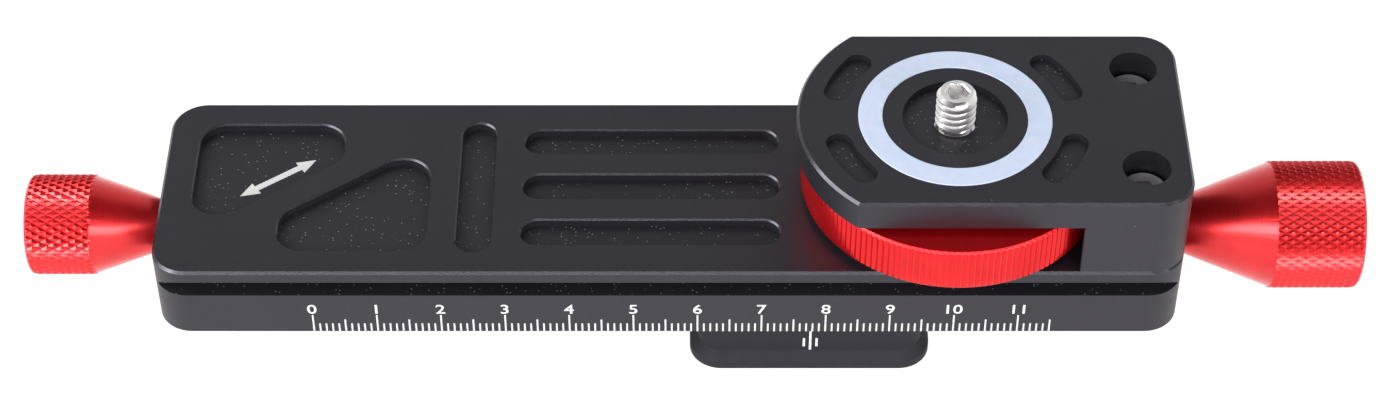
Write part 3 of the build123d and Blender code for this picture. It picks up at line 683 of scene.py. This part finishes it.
# ---- scale, index and direction mark ------------------------------------------------------------
MARK = 0.02 * MM             # how far the white fill stands proud
SCALE_ZERO = rail_low.x + 24.6 * MM
SCALE_COUNT = 115            # millimetre steps
LINE = 0.27 * MM             # width of a graduation
TICK_HEIGHT, HALF_HEIGHT, WHOLE_HEIGHT = 2.05 * MM, 2.95 * MM, 3.95 * MM
DIGIT_HEIGHT = 2.05 * MM
DIGIT_BASE = 4.25 * MM       # from the rail's underside
DIGIT_WIDEN = 1.12
DIGIT_SWELL = 0.012          # thickens the strokes, in letter heights
EDGE_BEVEL = 0.25 * MM       # along the rail's lower front edge
ROOT = 0.05 * MM             # how deep a graduation reaches into the face
SINK = 0.01 * MM             # how deep the other marks do
INDEX_FACE = 1.3 * MM        # the foot's front face, back from its widest point
INDEX_HALF_WIDTH = 0.19 * MM
INDEX_LINES = ((0, 3.25, 8.35), (-1.0, 4.0, 5.9), (1.0, 4.0, 5.9))      # x, base, top in mm
POCKET_DEPTH = 1.4 * MM


def prism(outline, place, thickness):
    """Points and faces of a flat outline pushed out by thickness. place(u, v, w) gives a point."""
    count = len(outline)
    points = [place(u, v, w) for w in (0, thickness) for u, v in outline]
    faces = [tuple(reversed(range(count))), tuple(range(count, 2 * count))]
    faces += [(i, (i + 1) % count, count + (i + 1) % count, count + i) for i in range(count)]
    return points, faces


def gather(shapes):
    """Several (points, faces) as one."""
    points, faces = [], []
    for more_points, more_faces in shapes:
        start = len(points)
        points += list(more_points)
        faces += [tuple(i + start for i in f) for f in more_faces]
    return points, faces


def tick(x, height, width):
    """A graduation: a thin strip up the rail's front face, which also runs over its lower bevel."""
    face, base = rail_low.y, rail_low.z
    profile = [(face + EDGE_BEVEL, base), (face, base + EDGE_BEVEL), (face, base + height)]
    out = [(0, -MARK * 0.4), (-MARK, 0), (-MARK, 0)]
    half = width / 2
    rings = []
    for (y, z), (dy, dz) in zip(profile, out):
        rings.append([(x - half, y + ROOT, z), (x + half, y + ROOT, z),
                      (x + half, y + dy, z + dz), (x - half, y + dy, z + dz)])
    return skin(np.array(rings))


def numerals():
    """Digits 0 to 11 above the centimetre marks, standing on one line."""
    base = rail_low.z + DIGIT_BASE
    shapes = []
    unit = None
    for number in range(SCALE_COUNT // 10 + 1):
        curve = bpy.data.curves.new("digits", "FONT")
        curve.body = str(number)
        curve.align_x = "CENTER"
        curve.offset = DIGIT_SWELL
        curve.extrude = 0.5
        curve.resolution_u = 4
        text = bpy.data.objects.new("digits", curve)
        bpy.context.scene.collection.objects.link(text)
        bpy.context.view_layer.update()
        mesh = bpy.data.meshes.new_from_object(
            text.evaluated_get(bpy.context.evaluated_depsgraph_get()))
        points = np.array([v.co for v in mesh.vertices])
        faces = [tuple(p.vertices) for p in mesh.polygons]
        bpy.data.objects.remove(text)
        bpy.data.curves.remove(curve)
        bpy.data.meshes.remove(mesh)
        if unit is None:
            foot, top = points[:, 1].min(), points[:, 1].max()
            unit = (foot, DIGIT_HEIGHT / (top - foot))
        middle = (points[:, 0].min() + points[:, 0].max()) / 2
        x = SCALE_ZERO + number * 10 * MM + (points[:, 0] - middle) * unit[1] * DIGIT_WIDEN
        z = base + (points[:, 1] - unit[0]) * unit[1]
        y = rail_low.y - MARK * (points[:, 2] + 0.5) + SINK
        shapes.append((np.stack([x, y, z], -1), faces))
    return gather(shapes)


heights = {0: WHOLE_HEIGHT, 5: HALF_HEIGHT}
ticks = [tick(SCALE_ZERO + i * MM, heights.get(i % 10, TICK_HEIGHT), LINE)
         for i in range(SCALE_COUNT + 1)]
make_piece("scale_ticks", *gather(ticks), white_fill, "rail")
make_piece("scale_numbers", *numerals(), white_fill, "rail")


def index_mark():
    """The index on the foot's front: a long line with a short one each side."""
    face = foot_low.y + INDEX_FACE
    half = INDEX_HALF_WIDTH
    shapes = []
    for x, low, high in INDEX_LINES:
        outline = [(x * MM - half, low * MM), (x * MM + half, low * MM),
                   (x * MM + half, high * MM), (x * MM - half, high * MM)]
        shapes.append(prism(outline, lambda u, v, w: (u, face + SINK - w, v), MARK + SINK))
    return gather(shapes)


make_piece("index_mark", *index_mark(), white_fill, "foot")


def direction_mark():
    """A plain double arrow in the left pocket, along the slanting band."""
    length, shaft, head, wing = 14.0 * MM, 0.55 * MM, 3.0 * MM, 1.35 * MM
    half = length / 2
    neck = half - head
    outline = [(-half, 0), (-neck, -wing), (-neck, -shaft), (neck, -shaft), (neck, -wing),
               (half, 0), (neck, wing), (neck, shaft), (-neck, shaft), (-neck, wing)]
    slant = math.radians(35.7)
    centre_x, centre_y = rail_low.x + 18.0 * MM, 3.2 * MM
    level = rail_high.z - POCKET_DEPTH

    def place(u, v, w):
        return (centre_x + u * math.cos(slant) - v * math.sin(slant),
                centre_y + u * math.sin(slant) + v * math.cos(slant), level + w)

    return prism(outline, place, MARK)


make_piece("direction_mark", *direction_mark(), white_fill, "rail")


# ---- floor and light ----------------------------------------------------------------------------
def floor():
    """A wide pale floor just under the foot."""
    half, level, cells = 2.5, foot_low.z - 0.05 * MM, 12
    line = np.linspace(-half, half, cells + 1)
    points = [(x, y, level) for y in line for x in line]
    row = cells + 1
    faces = [(i * row + j, i * row + j + 1, (i + 1) * row + j + 1, (i + 1) * row + j)
             for i in range(cells) for j in range(cells)]
    mesh = bpy.data.meshes.new("floor")
    mesh.from_pydata(points, [], faces)
    m = Shader("floor_white")
    cloud = m.between(m.noise(0.4), 0.3, 0.7)
    m.colour(m.colours(cloud, (0.27, 0.27, 0.27), (0.30, 0.30, 0.30)))
    m.set(Roughness=0.9, Emission_Color=(1, 1, 1, 1), Emission_Strength=0.84)
    mesh.materials.append(m.material)
    piece = bpy.data.objects.new("floor", mesh)
    bpy.context.scene.collection.objects.link(piece)


LAMP_DISTANCE = 0.9
LAMP_AIM = Vector((0, 0, 0.015))
# name, azimuth from the front towards +X, elevation, width and height in metres, watts
LAMPS = (
    ("front_box", 0, 34, 0.7, 0.22, 3.7),
    ("front_left_box", -41, 31, 0.6, 0.26, 3.8),
    ("front_right_box", 41, 22, 0.6, 0.30, 4.4),
    ("front_fill", 0, 12, 1.4, 0.5, 0.8),
    ("left_box", -80, 30, 0.75, 0.30, 7.0),
)


def softbox(name, azimuth, elevation, width, height, power):
    """A soft rectangular light that faces the object from a direction given in degrees."""
    azimuth, elevation = math.radians(azimuth), math.radians(elevation)
    away = Vector((math.sin(azimuth) * math.cos(elevation),
                   -math.cos(azimuth) * math.cos(elevation), math.sin(elevation)))
    data = bpy.data.lights.new(name, "AREA")
    data.shape = "RECTANGLE"
    data.size, data.size_y = width, height
    data.energy = power
    lamp = bpy.data.objects.new(name, data)
    lamp.location = LAMP_AIM + away * LAMP_DISTANCE
    lamp.rotation_euler = away.to_track_quat("Z", "Y").to_euler()
    bpy.context.scene.collection.objects.link(lamp)


def surroundings():
    """A studio: pale walls, and a dark ceiling that reaches a little further down in front. stops
    pairs a height with the brightness there. A height runs from 0, level, to 1, straight up."""
    world = bpy.data.worlds.new("studio")
    bpy.context.scene.world = world
    world.use_nodes = True
    nodes, links = world.node_tree.nodes, world.node_tree.links
    way = nodes.new("ShaderNodeTexCoord")
    height = nodes.new("ShaderNodeVectorMath")
    height.operation = "DOT_PRODUCT"
    ramp = nodes.new("ShaderNodeValToRGB")
    links.new(way.outputs["Generated"], height.inputs[0])
    tilt = math.radians(9)
    height.inputs[1].default_value = (0, -math.sin(tilt), math.cos(tilt))
    links.new(height.outputs["Value"], ramp.inputs["Fac"])
    stops = ((0.0, 1.10), (0.56, 0.76), (0.72, 0.46), (0.84, 0.11), (1.0, 0.05))
    for i, (at, level) in enumerate(stops):
        stop = ramp.color_ramp.elements[i] if i < 2 else ramp.color_ramp.elements.new(at)
        stop.position = at
        stop.color = (level, level, level, 1)
    links.new(ramp.outputs["Color"], nodes["Background"].inputs["Color"])
    nodes["Background"].inputs["Strength"].default_value = 0.9


floor()
surroundings()
for lamp in LAMPS:
    softbox(*lamp)
bpy.context.scene.view_settings.view_transform = "Standard"
